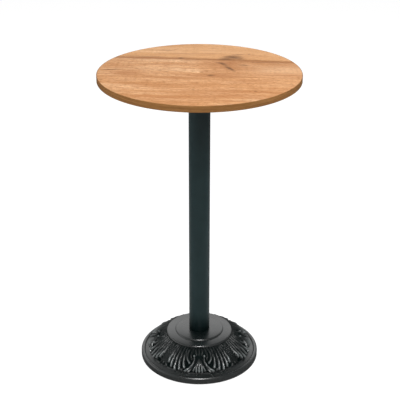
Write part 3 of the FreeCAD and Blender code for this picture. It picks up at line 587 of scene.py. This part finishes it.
def base_section(bm):
    """Closed line round the section of the casting"""
    # Upper side from the hole for the rod over the seat of the tube and the steps, then the leaf moulding
    upper = drawn(bm, ((6.75, 75), (6.75, PLATEAU), (27.75, PLATEAU), (27.75, 127.5), (35.75, 127.5),
                       (35.75, PLATEAU), (45, PLATEAU), (89, 111.5, 2.8), (91, 106.5), (122.5, 104.5, 2.8),
                       (124.5, 98.5), MOULDING_TOP))
    foot = arched(bm, upper[-1], (ARC_R, ARC_Z), ARC_TOP - ARC_FOOT, DOWN_STEPS)
    # Groove and bead, then rim, vault and hub underneath
    groove = drawn(bm, (GROOVE,), foot)
    bead = arched(bm, groove[0], BEAD_MIDDLE, math.radians(150), steps=14)
    drawn(bm, ((221.5, 3, 2.5), (210.5, 3), (210.5, 13), (201.3, 13), (185, 25.5), (157.75, 64.05),
               (116.3, 89.5), (89, 99.5), (30, 99.5), (30, 75)), bead, upper[:1])


def raise_ornament(bm):
    """Lifts the moulding along its normal by the relief, and notes its crests for the painted highlight and its
    hollows for the gloss
    """
    crest = bm.verts.layers.float.new("crest")
    hollow = bm.verts.layers.float.new("hollow")
    verts = bm.verts[:]
    x, y, z = np.array([v.co for v in verts]).T / MM
    out = np.hypot(x, y)
    turn = np.arctan2(z - ARC_Z, out - ARC_R)
    on_arc = abs(np.hypot(out - ARC_R, z - ARC_Z) - ARC) < 0.01
    chosen = np.flatnonzero(on_arc & (turn < ARC_TOP + 0.001) & (turn > ARC_FOOT - 0.001))
    turn, x, y = turn[chosen], x[chosen], y[chosen]
    fall = (turn - ARC_TOP) / (ARC_FOOT - ARC_TOP)
    share = abs((np.degrees(np.arctan2(y, x)) + HALF) % (2 * HALF) - HALF) / HALF

    # Heights on a grid over one half, and how far each place is a hollow
    down, across = np.mgrid[0:DOWN_STEPS + 1, 0:ACROSS_STEPS + 1]
    heights = ornament(down.ravel() / DOWN_STEPS, across.ravel() / ACROSS_STEPS).reshape(down.shape)
    heights = evened(heights, 2)
    heights[[0, -1]] = 0
    sunk = (evened(heights, 14) - heights) / HOLLOW_BY
    hollows = np.clip(np.maximum(1 - heights / HOLLOW_UNDER, sunk), 0, 1)
    spot = np.rint(fall * DOWN_STEPS).astype(int), np.rint(share * ACROSS_STEPS).astype(int)
    height = heights[spot]
    wide = (ARC_R + (ARC + height) * np.cos(turn)) / np.hypot(x, y)
    tall = ARC_Z + (ARC + height) * np.sin(turn)
    # The ribs are dull near the ring and shine at their tips, the lattice is dull, and the foot is plain paint
    deep = np.maximum(hollows[spot], rising(fall, 0.70, -0.50, most=0.72))
    deep = np.maximum(deep, rising(share, 0.88, 0.03, most=0.70)) * rising(fall, 0.98, -0.04)
    for i, at_x, at_y, at_z, lift, low in zip(chosen, x * wide, y * wide, tall, height, deep):
        verts[i].co = (at_x * MM, at_y * MM, at_z * MM)
        verts[i][crest] = lift / CREST
        verts[i][hollow] = low


def foot_boss():
    """Boss for a levelling foot, cut to the slope of the vault"""
    bm = bmesh.new()
    drawn(bm, ((4.05, 100), (4.05, 18), (12, 18, 1.5), (12, 100)), closed=True)
    turned(bm, steps=36)
    slope = bmesh.ops.bisect_plane(bm, geom=bm.verts[:] + bm.edges[:] + bm.faces[:], plane_co=(0, 0, 57 * MM),
                                   plane_no=(1.45, 0, 1), clear_outer=True)
    bmesh.ops.bridge_loops(bm, edges=[e for e in slope["geom_cut"] if isinstance(e, bmesh.types.BMEdge)])
    return bm


def hub_gusset():
    """Gusset between the hub and the vault"""
    bm = bmesh.new()
    place = Matrix.Translation((49 * MM, 0, 94.25 * MM)) @ Matrix.Diagonal((42 * MM, 7 * MM, 13.5 * MM, 1))
    bmesh.ops.create_cube(bm, size=1, matrix=place)
    bmesh.ops.bevel(bm, geom=bm.edges[:], offset=1.2 * MM, segments=2, profile=0.5, affect="EDGES", material=-1)
    return bm


def base_casting():
    """Cast foot with its ornament, four gussets at the hub and four bosses for the feet"""
    quarter = bmesh.new()
    base_section(quarter)
    # A quarter is turned first, because a spin slows down with its steps
    turned(quarter, 2 * ACROSS_STEPS, turns=0.25)
    raise_ornament(quarter)
    on_diagonal = Matrix.Rotation(math.radians(HALF), 4, "Z") @ Matrix.Translation((166 * MM, 0, 0))
    for part, place in ((hub_gusset(), Matrix()), (foot_boss(), on_diagonal)):
        joined(quarter, part, place)
        part.free()
    whole = bmesh.new()
    for turn in range(4):
        joined(whole, quarter, Matrix.Rotation(math.radians(90 * turn), 4, "Z"))
    quarter.free()
    finished("base", whole, IRON, "black_cast_iron", "table", "base_casting", crease=58, ring=MOULDING_FOOT)


tabletop_board()
edge_band()
column_tube()
base_casting()

# Hidden pieces that stay as the CAD has them
CARRIED = {
    "top_spider": IRON, "spider_screws": ZINC, "tie_rod": ZINC,
    "tie_rod_top_nut": ZINC, "tie_rod_top_washer": ZINC,
    "tie_rod_bottom_washer": ZINC, "tie_rod_spring_washer": ZINC, "tie_rod_bottom_nut": ZINC,
}
for foot in range(1, 5):
    CARRIED["foot_stem_%d" % foot] = ZINC
    CARRIED["foot_pad_%d" % foot] = NYLON
for node, finish in CARRIED.items():
    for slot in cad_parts[node].material_slots:
        slot.material = finish


# Floor, backdrop and light

floor_mesh = bpy.data.meshes.new("floor")
bm = bmesh.new()
bmesh.ops.create_grid(bm, x_segments=1, y_segments=1, size=20)
bm.to_mesh(floor_mesh)
bm.free()
floor = bpy.data.objects.new("floor", floor_mesh)
scene.collection.objects.link(floor)

# Pale matt floor that keeps the shadow. Reflections show it darker, as a floor that runs out into the room, and
# the eye sees it glow like a lit backdrop
paper = bpy.data.materials.new("white_paper_floor")
tree = bare_tree(paper)
path = put(tree, "LightPath")
shade = tone("#e8e8e8")
for ray, code in (("Is Glossy Ray", "#727272"), ("Is Camera Ray", "#959595")):
    shade = put(tree, "Mix", {0: path.outputs[ray], 6: shade, 7: tone(code)}, data_type="RGBA").outputs[2]
matt = put(tree, "BsdfDiffuse", {"Color": shade})
lit = put(tree, "Math", {0: path.outputs["Is Camera Ray"], 1: 0.865}, operation="MULTIPLY")
glow = put(tree, "Emission", {"Color": tone("#ffffff"), "Strength": lit.outputs[0]})
both = put(tree, "AddShader", {0: matt.outputs[0], 1: glow.outputs[0]})
put(tree, "OutputMaterial", {"Surface": both.outputs[0]})
floor_mesh.materials.append(paper)

room = bpy.data.worlds.new("studio")
scene.world = room
tree = bare_tree(room)
path = put(tree, "LightPath")
seen = path.outputs["Is Camera Ray"]
for ray in ("Is Glossy Ray", "Is Transmission Ray"):
    seen = put(tree, "Math", {0: seen, 1: path.outputs[ray]}, operation="ADD", use_clamp=True).outputs[0]
# Reflections show a white backdrop behind the table, a dim room in front of it and a darker ceiling
way = put(tree, "TexCoord").outputs["Generated"]
back = put(tree, "VectorMath", {0: way, 1: (-0.5, 0.87, 0)}, operation="DOT_PRODUCT").outputs["Value"]
glare = put(tree, "MapRange", {0: back, 1: -0.4, 2: 0.7, 3: 0.19, 4: 0.68}, interpolation_type="SMOOTHSTEP")
up = put(tree, "SeparateXYZ", {0: way}).outputs[2]
upper = put(tree, "MapRange", {0: up, 1: 0.55, 2: 0.72, 3: 1.0, 4: 0.35}, interpolation_type="SMOOTHSTEP")
glare = put(tree, "Math", {0: glare.outputs[0], 1: upper.outputs[0]}, operation="MULTIPLY")
# The eye sees white, and the object gets a soft fill light. A number Mix takes 0 the share, 2 and 3 the numbers
shown = put(tree, "Mix", {0: path.outputs["Is Camera Ray"], 2: glare.outputs[0], 3: 1.0})
level = put(tree, "Mix", {0: seen, 2: 0.35, 3: shown.outputs[0]})
sky = put(tree, "Background", {"Color": tone("#ffffff"), "Strength": level.outputs[0]})
put(tree, "OutputWorld", {"Surface": sky.outputs[0]})

# Soft boxes: place in metres, point they face, width and height in metres, watts. The side boxes only fill in, and
# the bright lines on the base come from the front
for name, place, aim, wide, high, watts in (
        ("overhead_box", (0.15, 0.3, 3.4), (0.1, 0.1, 1.1), 0.9, 0.9, 7),
        ("front_box", (0.1, -3.05, 4.3), (0, -0.15, 0.1), 1.3, 2.5, 117),
        ("left_box", (-3.2, -1.2, 2.2), (0, 0, 0.5), 2.4, 2.4, 46),
        ("right_box", (2.4, -0.6, 3.0), (0, 0, 0.9), 1.6, 1.6, 50),
        ("back_box", (0.2, 4.2, 2.45), (0, 0, 0.1), 4.2, 1.4, 8)):
    box = bpy.data.lights.new(name, "AREA")
    box.shape = "RECTANGLE"
    box.size = wide
    box.size_y = high
    box.energy = watts
    lamp = bpy.data.objects.new(name, box)
    lamp.visible_camera = False
    lamp.visible_glossy = name not in ("left_box", "right_box")
    lamp.location = place
    lamp.rotation_euler = (Vector(aim) - Vector(place)).to_track_quat("-Z", "Y").to_euler()
    scene.collection.objects.link(lamp)

# Camera at the view of the photograph: 91 mm lens, 2.15 m up, 24.5 degrees down, turned a little about its axis.
# Lens and shift are fitted in pixels of the picture, which is 400 across
PICTURE, SENSOR = 400, 36
eye = bpy.data.cameras.new("photo_view")
eye.sensor_width = SENSOR
eye.lens = 1007.18 * SENSOR / PICTURE
eye.shift_x = 0.596 / PICTURE
viewer = bpy.data.objects.new("photo_view", eye)
viewer.location = (0, -3.29343, 2.14804)
viewer.rotation_mode = "ZYX"
viewer.rotation_euler = (math.pi / 2 - 0.4283, 0, 0.001)
scene.collection.objects.link(viewer)
scene.camera = viewer
scene.view_settings.view_transform = "Standard"
